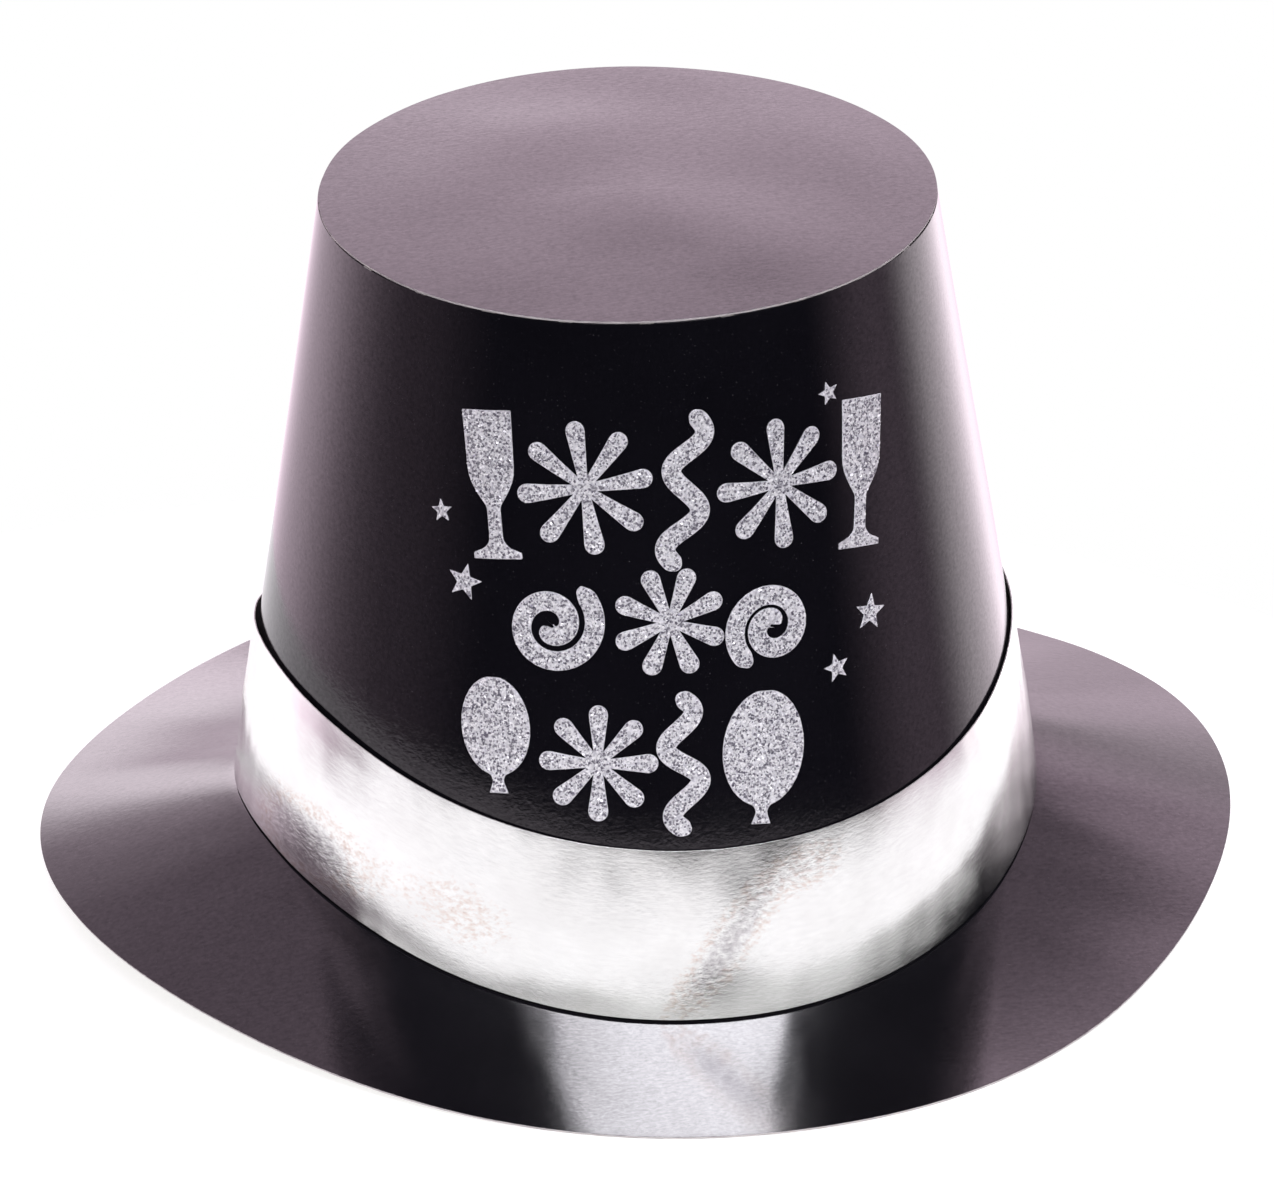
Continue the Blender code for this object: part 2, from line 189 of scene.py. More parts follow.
class Nodes:
    """A material's node tree, with short calls to add nodes and join them."""

    def __init__(self, name):
        self.material = bpy.data.materials.new(name)
        self.material.use_nodes = True
        self.tree = self.material.node_tree
        self.shader = self.tree.nodes["Principled BSDF"]

    def add(self, kind, **settings):
        node = self.tree.nodes.new(kind)
        for key, value in settings.items():
            setattr(node, key, value)
        return node

    def join(self, source, target):
        self.tree.links.new(source, target)

    def place(self, scale, turn=(0.0, 0.0, 0.0)):
        """The piece's own coordinates in metres, stretched by a scale along each axis."""
        spot = self.add("ShaderNodeTexCoord")
        stretch = self.add("ShaderNodeMapping")
        stretch.inputs["Scale"].default_value = scale
        stretch.inputs["Rotation"].default_value = turn
        self.join(spot.outputs["Object"], stretch.inputs["Vector"])
        return stretch.outputs["Vector"]

    def flat_place(self, scale):
        """The blank's flat coordinates, stretched along its length and its width."""
        spot = self.add("ShaderNodeUVMap")
        stretch = self.add("ShaderNodeMapping")
        stretch.inputs["Scale"].default_value = (scale[0], scale[1], 1.0)
        self.join(spot.outputs["UV"], stretch.inputs["Vector"])
        return stretch.outputs["Vector"]

    def clouds(self, vector, scale, detail=3.0, roughness=0.5):
        cloud = self.add("ShaderNodeTexNoise")
        cloud.inputs["Scale"].default_value = scale
        cloud.inputs["Detail"].default_value = detail
        cloud.inputs["Roughness"].default_value = roughness
        self.join(vector, cloud.inputs["Vector"])
        return cloud.outputs["Fac"]

    def remap(self, value, low, high, to_low, to_high):
        spread = self.add("ShaderNodeMapRange")
        spread.inputs["From Min"].default_value = low
        spread.inputs["From Max"].default_value = high
        spread.inputs["To Min"].default_value = to_low
        spread.inputs["To Max"].default_value = to_high
        self.join(value, spread.inputs["Value"])
        return spread.outputs["Result"]

    def blend_colours(self, share, first, second):
        mix = self.add("ShaderNodeMix", data_type="RGBA")
        self.join(share, mix.inputs["Factor"])
        for name, colour in (("A", first), ("B", second)):
            socket = [s for s in mix.inputs if s.name == name and s.type == "RGBA"][0]
            if isinstance(colour, tuple):
                socket.default_value = (*colour, 1.0)
            else:
                self.join(colour, socket)
        return [s for s in mix.outputs if s.type == "RGBA"][0]

    def calculate(self, operation, first, second):
        sum_node = self.add("ShaderNodeMath", operation=operation)
        for index, value in enumerate((first, second)):
            if isinstance(value, (int, float)):
                sum_node.inputs[index].default_value = value
            else:
                self.join(value, sum_node.inputs[index])
        return sum_node.outputs[0]

    def raise_surface(self, heights):
        """Bump from a list of (height value, depth in metres, strength)."""
        normal = None
        for height, depth, strength in heights:
            bump = self.add("ShaderNodeBump")
            bump.inputs["Distance"].default_value = depth
            bump.inputs["Strength"].default_value = strength
            self.join(height, bump.inputs["Height"])
            if normal:
                self.join(normal, bump.inputs["Normal"])
            normal = bump.outputs["Normal"]
        self.join(normal, self.shader.inputs["Normal"])


def coated_card(name, ink, ink_light, gloss, grain_scale, grain_lift, mottle):
    """Black coated board: inked gloss over fibre, with a straight grain and stray fibres."""
    nodes = Nodes(name)
    patches = nodes.clouds(nodes.place((1.0, 1.0, 1.0)), 38.0, 4.0)
    fibres = nodes.clouds(nodes.place(grain_scale), 1.0, 4.0, 0.6)
    specks = nodes.clouds(nodes.place((1.0, 1.0, 1.0)), 2600.0, 1.0)
    orange_peel = nodes.clouds(nodes.place((1.0, 1.0, 1.0)), 420.0, 2.0)
    pores = nodes.clouds(nodes.place((1.0, 1.0, 1.0)), 1100.0, 3.0, 0.6)
    tone = nodes.remap(nodes.calculate("ADD", patches, fibres), 0.75, 1.3, 0.0, 1.0)
    colour = nodes.blend_colours(tone, ink, ink_light)
    dust = nodes.remap(specks, 0.74, 0.80, 0.0, 0.35)
    nodes.join(nodes.blend_colours(dust, colour, (0.16, 0.15, 0.16)),
               nodes.shader.inputs["Base Color"])
    rough = nodes.remap(nodes.calculate("ADD", patches, fibres), 0.7, 1.3, gloss, gloss + 0.05)
    nodes.join(rough, nodes.shader.inputs["Roughness"])
    sheen = nodes.remap(nodes.calculate("ADD", fibres, pores), 0.7, 1.3,
                        0.5 - mottle, 0.5 + mottle)
    nodes.join(sheen, nodes.shader.inputs["Specular IOR Level"])
    nodes.shader.inputs["Specular Tint"].default_value = (1.0, 0.93, 0.97, 1.0)
    nodes.raise_surface([(fibres, 0.05 * MM, grain_lift), (orange_peel, 0.04 * MM, 0.25),
                         (pores, 0.02 * MM, 0.35)])
    return nodes.material


def board_back():
    """The plain back of the board: greyish recycled pulp with darker and lighter fibres."""
    nodes = Nodes("board_back")
    pulp = nodes.clouds(nodes.place((1.0, 1.0, 1.0)), 700.0, 5.0, 0.65)
    flecks = nodes.clouds(nodes.place((260.0, 900.0, 900.0)), 1.0, 3.0)
    colour = nodes.blend_colours(nodes.remap(pulp, 0.3, 0.7, 0.0, 1.0),
                                 (0.44, 0.42, 0.39), (0.56, 0.54, 0.50))
    fleck = nodes.remap(flecks, 0.66, 0.74, 0.0, 0.6)
    nodes.join(nodes.blend_colours(fleck, colour, (0.25, 0.23, 0.21)),
               nodes.shader.inputs["Base Color"])
    nodes.shader.inputs["Roughness"].default_value = 0.85
    nodes.raise_surface([(pulp, 0.08 * MM, 0.5)])
    return nodes.material


def cut_edge():
    """The board's pale core, where a knife has cut it."""
    nodes = Nodes("cut_edge")
    layers = nodes.clouds(nodes.place((300.0, 300.0, 9000.0)), 1.0, 3.0)
    nodes.join(nodes.blend_colours(nodes.remap(layers, 0.35, 0.65, 0.0, 1.0),
                                   (0.30, 0.27, 0.28), (0.62, 0.58, 0.57)),
               nodes.shader.inputs["Base Color"])
    nodes.shader.inputs["Roughness"].default_value = 0.8
    nodes.raise_surface([(layers, 0.05 * MM, 0.4)])
    return nodes.material


CROWN_COLUMNS = 297
CROWN_ROWS = 20
TAB_ROWS = 3
crown_share = CROWN_ROWS / (CROWN_ROWS + TAB_ROWS)
crown_sweep = 360.0 + LAP_ANGLE


def is_crown_waste(along, up):
    """The slits between the tabs, and the whole lap, where tabs would be in the way."""
    if up < crown_share:
        return False
    angle = along * crown_sweep
    if angle < LAP_ANGLE + LAP_BLEND or angle > 360.0:
        return True
    return angle % TAB_ANGLE < TAB_SLIT


def roll_crown(along, up):
    angle_along = along * crown_sweep
    angle = SEAM_ANGLE + angle_along
    inset = under_lap(angle_along)
    rise = min(up / crown_share, 1.0)
    low = cut_height(angle)
    height = low + (CROWN_TALL - low) * rise
    radius = cone_radius(height) - inset + card_slack(angle, height)
    if up > crown_share + 0.001:
        fold = (up - crown_share) / (1.0 - crown_share)
        return round_hat(angle, radius - TOP_TAB * fold, height - 0.4 * MM * fold)
    return round_hat(angle, radius, height)


gloss_black = coated_card("gloss_black_card", (0.0040, 0.0037, 0.0054), (0.0056, 0.0052, 0.0075),
                          0.055, (900.0, 900.0, 1500.0), 0.12, 0.16)
plain_back = board_back()
pale_core = cut_edge()
crown = card_blank("crown", CROWN_COLUMNS, CROWN_ROWS + TAB_ROWS)
cut_away(crown, is_crown_waste)
roll(crown, roll_crown)
thicken(crown, CARD, EDGE_ROUNDING, (gloss_black, plain_back, pale_core))
fit(crown, "crown_wall")


# ---------------------------------------------------------------- crown seam tape
# The strip of clear double-sided tape that holds the crown's lap shut. It lies between
# the two layers, so only its ends can be seen.

def tape_film(name):
    nodes = Nodes(name)
    haze = nodes.clouds(nodes.place((1.0, 1.0, 1.0)), 500.0, 3.0)
    nodes.join(nodes.blend_colours(haze, (0.50, 0.48, 0.41), (0.66, 0.64, 0.56)),
               nodes.shader.inputs["Base Color"])
    nodes.shader.inputs["Roughness"].default_value = 0.3
    nodes.raise_surface([(haze, 0.03 * MM, 0.4)])
    return nodes.material


clear_tape = tape_film("clear_tape")
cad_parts["crown_seam_tape"].material_slots[0].material = clear_tape


# ---------------------------------------------------------------- top
# A round disc cut from the same board, glued face up on the crown's folded tabs. It is
# flush with the wall, so the pale core of its cut edge draws a thin line round the top.

DISC_RINGS = 14
DISC_LIFT = 0.12 * MM
DISC_WARP = 0.8 * MM
DISC_DOME = 1.7 * MM

# The top's copy of the board gets a lighter ink than the crown's: painted light for the overhead
# light it faces.
gloss_top = coated_card("gloss_black_top", (0.0060, 0.0052, 0.0070), (0.0090, 0.0080, 0.0105),
                        0.12, (500.0, 1200.0, 1200.0), 0.35, 0.16)


def lay_disc(along, out):
    angle = along * 360.0
    turn = math.radians(angle)
    cut = 0.35 * MM * noise.noise(Vector((math.sin(turn) * 2.6, math.cos(turn) * 2.6, 7.0)))
    radius = (TOP_RADIUS - 0.1 * MM + cut) * out
    spot = Vector((math.sin(turn) * radius * 24.0, math.cos(turn) * radius * 24.0, 4.0))
    warp = DISC_WARP * noise.noise(spot) * (1.0 - out ** 3) + DISC_DOME * (1.0 - out ** 2)
    return round_hat(angle, radius, CROWN_TALL + DISC_LIFT + CARD + warp)


disc = card_blank("top", 288, DISC_RINGS)
roll(disc, lambda along, out: lay_disc(along, 1.0 - out))
close_ring(disc)
thicken(disc, CARD, EDGE_ROUNDING, (gloss_top, plain_back, pale_core))
fit(disc, "top_disc")


# ---------------------------------------------------------------- top glue
# The bead of white glue run round the crown's tabs and pressed flat under the top. It
# shows inside the hat, in the slits between the tabs, where it was squeezed out.

def dried_glue(name):
    nodes = Nodes(name)
    lumps = nodes.clouds(nodes.place((1.0, 1.0, 1.0)), 260.0, 3.0)
    nodes.join(nodes.blend_colours(lumps, (0.58, 0.54, 0.42), (0.78, 0.75, 0.64)),
               nodes.shader.inputs["Base Color"])
    nodes.shader.inputs["Roughness"].default_value = 0.32
    nodes.raise_surface([(lumps, 0.2 * MM, 0.6)])
    return nodes.material


def lay_top_glue(along, out):
    angle = along * 360.0
    turn = math.radians(angle)
    ooze = 1.2 * MM * noise.noise(Vector((math.sin(turn) * 9.0, math.cos(turn) * 9.0, out * 3.0)))
    radius = TOP_RADIUS - 2.0 * MM - (TOP_TAB - 4.0 * MM) * (1.0 - out) + ooze * (1.0 - out)
    return round_hat(angle, radius, CROWN_TALL + 0.10 * MM)


white_glue = dried_glue("white_glue")
top_glue = card_blank("top_glue_bead", 192, 2)
roll(top_glue, lambda along, out: lay_top_glue(along, 1.0 - out))
close_ring(top_glue)
thicken(top_glue, 0.09 * MM, 0.02 * MM, (white_glue,))
fit(top_glue, "top_glue_ring")


# ---------------------------------------------------------------- brim
# A ring of the same board, creased at the crown's edge, with tabs folded up inside the
# crown and glued there. The cut wave of the crown pulls it into a saddle: it dips at the
# front and back and sweeps up and out at the sides, where the card buckles a little.

BRIM_WIDTH = 47.4 * MM
BRIM_WIDTH_WAVE = 3.0 * MM
BRIM_WIDTH_WAVE_FINE = 3.1 * MM
BRIM_SLOPE = -9.0
BRIM_SLOPE_WAVE = 6.6
BRIM_SLOPE_WAVE_FINE = 0.8
BRIM_TAB = 8.0 * MM
BRIM_DROP = 0.3 * MM
BRIM_ROWS = 18
BRIM_BUCKLE = 0.35 * MM
brim_rows = BRIM_ROWS + 1 + TAB_ROWS


def brim_wave(angle, mean, wave, fine):
    turn = math.radians(angle)
    return mean + wave * math.cos(2 * turn) + fine * math.cos(4 * turn)


def brim_buckle(angle, out):
    """Shallow radial waves that start at the crease and die out before the edge."""
    turn = math.radians(angle)
    side = abs(math.sin(turn)) ** 2
    ripple = noise.noise(Vector((math.sin(turn) * 7.0, math.cos(turn) * 7.0, out * 0.8)))
    hold = smooth(out / 0.15) * (1.0 - 0.55 * out)
    return BRIM_BUCKLE * (0.35 + 0.65 * side) * hold * ripple


def lay_brim(along, up):
    row = round(up * brim_rows)
    angle = along * 360.0
    low = cut_height(angle)
    if row <= BRIM_ROWS:
        out = 1.0 - row / BRIM_ROWS
        reach = out * brim_wave(angle, BRIM_WIDTH, BRIM_WIDTH_WAVE, BRIM_WIDTH_WAVE_FINE)
        slope = math.radians(brim_wave(angle, BRIM_SLOPE, BRIM_SLOPE_WAVE, BRIM_SLOPE_WAVE_FINE))
        height = low - BRIM_DROP + reach * math.sin(slope) + brim_buckle(angle, out)
        return round_hat(angle, cone_radius(low) + reach * math.cos(slope), height)
    inset = under_lap((angle - SEAM_ANGLE) % 360.0) + CARD + GLUE_SPACE
    tab_rise = (row - BRIM_ROWS - 1) / TAB_ROWS
    height = low - BRIM_DROP + (BRIM_TAB + BRIM_DROP) * tab_rise
    return round_hat(angle, cone_radius(height) - inset, height)


brim = card_blank("brim_ring", 288, brim_rows)
cut_away(brim, lambda along, up: up > (BRIM_ROWS + 1) / brim_rows
         and (along * 360.0 - SEAM_ANGLE) % TAB_ANGLE < TAB_SLIT)
roll(brim, lay_brim)
close_ring(brim)
# The brim's copy of the board gets a lighter ink than the crown's: a painted fill that lifts its
# darkest parts.
gloss_brim = coated_card("gloss_black_brim", (0.0062, 0.0058, 0.0076), (0.0090, 0.0084, 0.0108),
                         0.10, (500.0, 1200.0, 1200.0), 0.25, 0.14)
thicken(brim, CARD, EDGE_ROUNDING, (gloss_brim, plain_back, pale_core))
fit(brim, "brim")


# ---------------------------------------------------------------- brim glue
# The ring of glue between the crown's inner face and the brim's tabs.

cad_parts["brim_glue_ring"].material_slots[0].material = white_glue


# ---------------------------------------------------------------- foil band
# A strip of thin card faced with silver foil. It is wrapped round the foot of the crown,
# lapped at the back and taped to itself, and it stands off the wall at its upper edge.
# The foil is a little wavy, since it follows a curve that it was not cut for.

BAND_WIDTH = 39.5 * MM
BAND_CARD = 0.3 * MM
BAND_CLEAR = 0.12 * MM
BAND_FOOT = 0.22 * MM
BAND_STANDOFF = 0.28 * MM
BAND_STANDOFF_WAVE = 0.22 * MM
BAND_RIPPLE = 0.20 * MM
BAND_CREASE = 0.06 * MM
# Each bulge: angle, spread, slant, height up the band, its spread, depth in mm, crumpling.
BAND_DENTS = (
    (-72.0, 15.0, 0.0, 0.52, 0.34, 1.00, 0.0), (-71.0, 14.0, 9.0, 0.22, 0.26, 0.05, 1.0),
    (-41.0, 10.0, 0.0, 0.38, 0.26, 0.05, 0.48), (-3.0, 4.4, 9.0, 0.42, 0.46, 0.12, 0.9),
    (11.0, 6.0, 6.0, 0.80, 0.16, 0.04, 0.6), (28.0, 11.0, 0.0, 0.34, 0.17, 0.24, 0.1),
    (56.0, 8.0, 0.0, 0.60, 0.34, 0.70, 0.15), (86.0, 10.0, 0.0, 0.40, 0.30, 0.60, 0.4),
    (118.0, 6.0, -12.0, 0.50, 0.24, 0.40, 0.8), (146.0, 9.0, 10.0, 0.40, 0.30, 0.60, 0.5),
    (-104.0, 5.0, 12.0, 0.55, 0.24, 0.35, 0.5), (-130.0, 9.0, 0.0, 0.45, 0.30, 0.60, 0.8),
    (-158.0, 5.0, -10.0, 0.50, 0.25, 0.40, 0.6),
)


def foil_face():
    """Silver foil on card: fine wrinkles, soft smears, and crumpled spots whose colour carries a
    painted dark reflection, with a painted warm reflection round their borders.
    """
    nodes = Nodes("silver_foil")
    smear = nodes.clouds(nodes.place((1.0, 1.0, 1.0), (0.0, 0.6, 0.0)), 45.0, 5.0, 0.6)
    wrinkles = nodes.clouds(nodes.flat_place((240.0, 46.0)), 1.0, 4.0, 0.65)
    grain = nodes.clouds(nodes.place((1.0, 1.0, 1.0)), 1500.0, 3.0, 0.6)
    leather = nodes.clouds(nodes.place((1.0, 1.0, 1.6), (0.4, 0.0, 0.5)), 560.0, 4.0, 0.7)
    crumple = nodes.add("ShaderNodeAttribute", attribute_name="crumple").outputs["Fac"]
    creases = nodes.calculate("MULTIPLY", leather, crumple)
    tone = nodes.remap(smear, 0.38, 0.62, 0.0, 1.0)
    colour = nodes.blend_colours(tone, (0.80, 0.805, 0.785), (0.90, 0.91, 0.89))
    # Crumpled creases are painted dark grey-lilac: a painted reflection of the dark surroundings.
    painted_dark_reflection = nodes.remap(creases, 0.28, 0.62, 0.0, 0.85)
    colour = nodes.blend_colours(painted_dark_reflection, colour, (0.38, 0.35, 0.375))
    # Round the border of each crumpled spot the foil is painted warm brown: a painted reflection.
    border = nodes.calculate("MULTIPLY", crumple, nodes.calculate("SUBTRACT", 1.0, crumple))
    painted_warm_reflection = nodes.remap(nodes.calculate("MULTIPLY", border, leather), 0.11, 0.17, 0.0, 0.65)
    nodes.join(nodes.blend_colours(painted_warm_reflection, colour, (0.64, 0.50, 0.42)),
               nodes.shader.inputs["Base Color"])
    nodes.shader.inputs["Metallic"].default_value = 1.0
    rough = nodes.remap(nodes.calculate("ADD", smear, wrinkles), 0.7, 1.3, 0.11, 0.20)
    nodes.join(rough, nodes.shader.inputs["Roughness"])
    nodes.raise_surface([(wrinkles, 0.05 * MM, 0.18), (grain, 0.02 * MM, 0.28),
                         (creases, 0.10 * MM, 0.60)])
    return nodes.material


def angle_between(first, second):
    return (first - second + 180.0) % 360.0 - 180.0


def dent_share(dent, angle, rise):
    """1 in the middle of a bulge, falling to 0 round it."""
    middle, spread, slant, level, tall = dent[:5]
    across = angle_between(angle, middle + slant * (rise - level) / 0.5) / spread
    upward = (rise - level) / tall
    return math.exp(-across ** 2 - upward ** 2)


def band_ripple(angle, rise):
    """Waves in the foil strip: broad ones, fine ones, and slanting soft bulges."""
    turn = math.radians(angle)
    broad = noise.noise(Vector((math.sin(turn) * 5.0, math.cos(turn) * 5.0, rise * 1.4)))
    fine = noise.noise(Vector((math.sin(turn) * 17.0, math.cos(turn) * 17.0, rise * 3.0)))
    lift = BAND_RIPPLE * (1.0 + broad) + BAND_CREASE * (1.0 + fine)
    hold = smooth(rise / 0.12) * smooth((1.0 - rise) / 0.12)
    for dent in BAND_DENTS:
        lift += dent[5] * MM * hold * dent_share(dent, angle, rise)
    return lift


def mark_crumples(strip):
    """Notes on each point of the flat strip how crumpled the foil is there."""
    # The crumpling drives the foil's crease bumps and also its painted dark and warm reflections.
    crumple = strip.data.attributes.new("crumple", "FLOAT", "POINT")
    for index, vertex in enumerate(strip.data.vertices):
        angle = SEAM_ANGLE + vertex.co.x * crown_sweep
        amount = sum(dent[6] * dent_share(dent, angle, vertex.co.y) for dent in BAND_DENTS)
        crumple.data[index].value = min(amount, 1.0)


def roll_band(along, up):
    angle_along = along * crown_sweep
    angle = SEAM_ANGLE + angle_along
    turn = math.radians(angle)
    over = (BAND_CARD + GLUE_SPACE) * smooth((angle_along - 360.0 + LAP_BLEND) / LAP_BLEND)
    standoff = (BAND_STANDOFF - BAND_STANDOFF_WAVE * math.cos(2 * turn)) * up
    height = cut_height(angle) + BAND_FOOT + (BAND_WIDTH - BAND_FOOT) * up
    outset = BAND_CLEAR + BAND_CARD + standoff + over + band_ripple(angle, up)
    return round_hat(angle, cone_radius(height) + outset, height)


silver_foil = foil_face()
band = card_blank("silver_band", 594, 20)
mark_crumples(band)
roll(band, roll_band)
thicken(band, BAND_CARD, 0.05 * MM, (silver_foil, plain_back, pale_core))
fit(band, "foil_band")
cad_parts["band_seam_tape"].material_slots[0].material = clear_tape


# ---------------------------------------------------------------- glitter print
# Silver glitter, sprinkled on pictures printed in clear varnish: fireworks, streamers,
# glasses, balloons and five small stars. Each picture is a thin pad of varnish, and the
# flakes lie in it at all angles. Which flakes flash and which stay dark is also painted
# into their colour: painted glints on most, painted shade on the rest.

FLAKES_PER_SQUARE_MM = 7.5
FLAKE_SMALL = 0.20 * MM
FLAKE_LARGE = 0.36 * MM
FLAKE_THICK = 0.025 * MM
FLAKE_TILT = 40.0
FLAKE_MARGIN = 0.30 * MM
CORNER_ROUNDING = 1.0 * MM
SHARP_CORNER_ROUNDING = 0.25 * MM
ROUNDED_TURNS = (12.0, 100.0)
SHARP_TURN = 60.0
FACING_OUT = 0.9
OUTLINE_STEP = 0.15 * MM
PAINTED_SHADE_SHARE = 0.40
VARNISH_ROUNDING = 0.12 * MM
PAD_SINK = 0.27 * MM
# The swirls have sides of a few hundredths of a millimetre, so only equal points are joined.
PAD_WELD = 0.001 * MM
random.seed(31)


def varnish_pad():
    nodes = Nodes("glitter_varnish")
    lumps = nodes.clouds(nodes.place((1.0, 1.0, 1.0)), 1500.0, 3.0)
    nodes.join(nodes.blend_colours(nodes.remap(lumps, 0.35, 0.65, 0.0, 1.0),
                                   (0.50, 0.485, 0.53), (0.84, 0.82, 0.86)),
               nodes.shader.inputs["Base Color"])
    nodes.shader.inputs["Metallic"].default_value = 0.15
    nodes.shader.inputs["Roughness"].default_value = 0.35
    nodes.raise_surface([(lumps, 0.12 * MM, 0.8)])
    return nodes.material


def glitter_flakes():
    nodes = Nodes("glitter_flakes")
    # The tone attribute is painted light: dark for painted shade, bright for a painted glint.
    tone = nodes.add("ShaderNodeAttribute", attribute_name="tone")
    nodes.join(nodes.blend_colours(tone.outputs["Fac"], (0.055, 0.045, 0.08), (1.0, 0.98, 1.0)),
               nodes.shader.inputs["Base Color"])
    nodes.shader.inputs["Metallic"].default_value = 0.25
    nodes.shader.inputs["Roughness"].default_value = 0.28
    return nodes.material


def outward_triangles(mesh):
    """The corners of a pad's outer faces, and each face's area."""
    found = []
    mesh.calc_loop_triangles()
    for triangle in mesh.loop_triangles:
        middle = triangle.center
        outward = Vector((middle.x, middle.y, 0.0)).normalized()
        if triangle.normal.dot(outward) > FACING_OUT:
            corners = [mesh.vertices[index].co.copy() for index in triangle.vertices]
            found.append((corners, triangle.area, triangle.normal.copy()))
    return found


def outline_edges(mesh):
    """The edges along a picture's outline, each as a pair of vertex numbers."""
    uses = {}
    for polygon in mesh.polygons:
        outward = Vector((polygon.center.x, polygon.center.y, 0.0)).normalized()
        if polygon.normal.dot(outward) > FACING_OUT:
            for key in polygon.edge_keys:
                uses[key] = uses.get(key, 0) + 1
    return sorted(key for key in uses if uses[key] == 1)


def outline_points(mesh):
    """Points close together along a picture's outline, arranged for quick searching."""
    spots = []
    for first, second in outline_edges(mesh):
        start, end = mesh.vertices[first].co, mesh.vertices[second].co
        steps = int((end - start).length / OUTLINE_STEP) + 1
        spots += [start.lerp(end, step / steps) for step in range(steps)]
    tree = kdtree.KDTree(len(spots))
    for index, spot in enumerate(spots):
        tree.insert(spot, index)
    tree.balance()
    return tree


def flake_painted_light():
    """Painted light for one flake: most are painted bright as glints, and the others get painted
    shade, as if they faced away from the light or lay deep.
    """
    if random.random() < PAINTED_SHADE_SHARE:
        return random.uniform(0.03, 0.30)
    return random.uniform(0.60, 1.0)


def add_flake(points, faces, centre, facing, size, spin):
    """A thin six-sided plate: its front and back faces, and the six sides between them."""
    side = facing.orthogonal().normalized()
    up = facing.cross(side)
    first = len(points)
    for layer in (centre, centre - facing * FLAKE_THICK):
        for corner in range(6):
            turn = spin + corner * math.pi / 3
            points.append(layer + (side * math.cos(turn) + up * math.sin(turn)) * size)
    faces.append(tuple(first + corner for corner in range(6)))
    faces.append(tuple(first + 11 - corner for corner in range(6)))
    for corner in range(6):
        following = (corner + 1) % 6
        faces.append((first + following, first + corner,
                      first + corner + 6, first + following + 6))


def scatter_flakes(pad):
    """Six-sided flakes, evenly scattered over a pad's outer faces, each with its own tilt."""
    triangles = outward_triangles(pad.data)
    outline = outline_points(pad.data)
    points, faces, painted_flake_lights = [], [], []
    for corners, area, normal in triangles:
        wanted = area / MM ** 2 * FLAKES_PER_SQUARE_MM
        count = int(wanted) + (random.random() < wanted - int(wanted))
        for flake in range(count):
            across, along = random.random(), random.random()
            if across + along > 1.0:
                across, along = 1.0 - across, 1.0 - along
            centre = corners[0] + (corners[1] - corners[0]) * across
            centre = centre + (corners[2] - corners[0]) * along
            if outline.find(centre)[2] < FLAKE_MARGIN:
                continue
            centre = centre + normal * random.uniform(0.02, 0.12) * MM
            axis = Vector((random.uniform(-1, 1), random.uniform(-1, 1), random.uniform(-1, 1)))
            tilt = Matrix.Rotation(math.radians(random.gauss(0.0, FLAKE_TILT * 0.5)), 3,
                                   axis.normalized())
            facing = (tilt @ normal).normalized()
            size = random.uniform(FLAKE_SMALL, FLAKE_LARGE)
            spin = random.uniform(0.0, math.pi / 3)
            add_flake(points, faces, centre, facing, size, spin)
            painted_flake_lights.extend([flake_painted_light()] * 12)
    mesh = bpy.data.meshes.new(pad.name + "_flakes")
    mesh.from_pydata(points, [], faces)
    tone = mesh.attributes.new("tone", "FLOAT", "POINT")
    tone.data.foreach_set("value", painted_flake_lights)
    flakes = bpy.data.objects.new(pad.name + "_flakes", mesh)
    bpy.context.scene.collection.objects.link(flakes)
    return flakes


def corner_turns(mesh):
    """How far a pad's side turns at each of its edges, in degrees."""
    sides = {}
    for polygon in mesh.polygons:
        outward = Vector((polygon.center.x, polygon.center.y, 0.0)).normalized()
        if abs(polygon.normal.dot(outward)) < 0.3:
            for key in polygon.edge_keys:
                sides.setdefault(key, []).append(polygon.normal.copy())
    return {key: math.degrees(pair[0].angle(pair[1]))
            for key, pair in sides.items() if len(pair) == 2}


def round_outline(pad):
    """Rounds the corners of a picture's outline, except where it turns back sharply."""
    mesh = pad.data
    shortest = {}
    for first, second in outline_edges(mesh):
        length = (mesh.vertices[first].co - mesh.vertices[second].co).length
        for corner in (first, second):
            shortest[corner] = min(shortest.get(corner, length), length)
    turns = corner_turns(mesh)
    weights = mesh.attributes.new("bevel_weight_edge", "FLOAT", "EDGE")
    for index, edge in enumerate(mesh.edges):
        turn = turns.get(edge.key, 0.0)
        reach = [shortest[corner] for corner in edge.vertices if corner in shortest]
        if reach and ROUNDED_TURNS[0] < turn < ROUNDED_TURNS[1]:
            most = SHARP_CORNER_ROUNDING if turn > SHARP_TURN else CORNER_ROUNDING
            weights.data[index].value = min(0.4 * min(reach), most) / CORNER_ROUNDING
    only(pad)
    rounding = pad.modifiers.new("Round outline", "BEVEL")
    rounding.width = CORNER_ROUNDING
    rounding.segments = 3
    rounding.limit_method = "WEIGHT"
    bpy.ops.object.modifier_apply(modifier=rounding.name)


def sink_pad(pad):
    """Lowers a pad until it lies on the crown's face, as printing does."""
    for vertex in pad.data.vertices:
        angle = math.degrees(math.atan2(vertex.co.x, -vertex.co.y))
        height = vertex.co.z - CUT_LEVEL
        out = Vector((vertex.co.x, vertex.co.y, 0.0)).normalized()
        vertex.co += out * (card_slack(angle, height) - PAD_SINK)


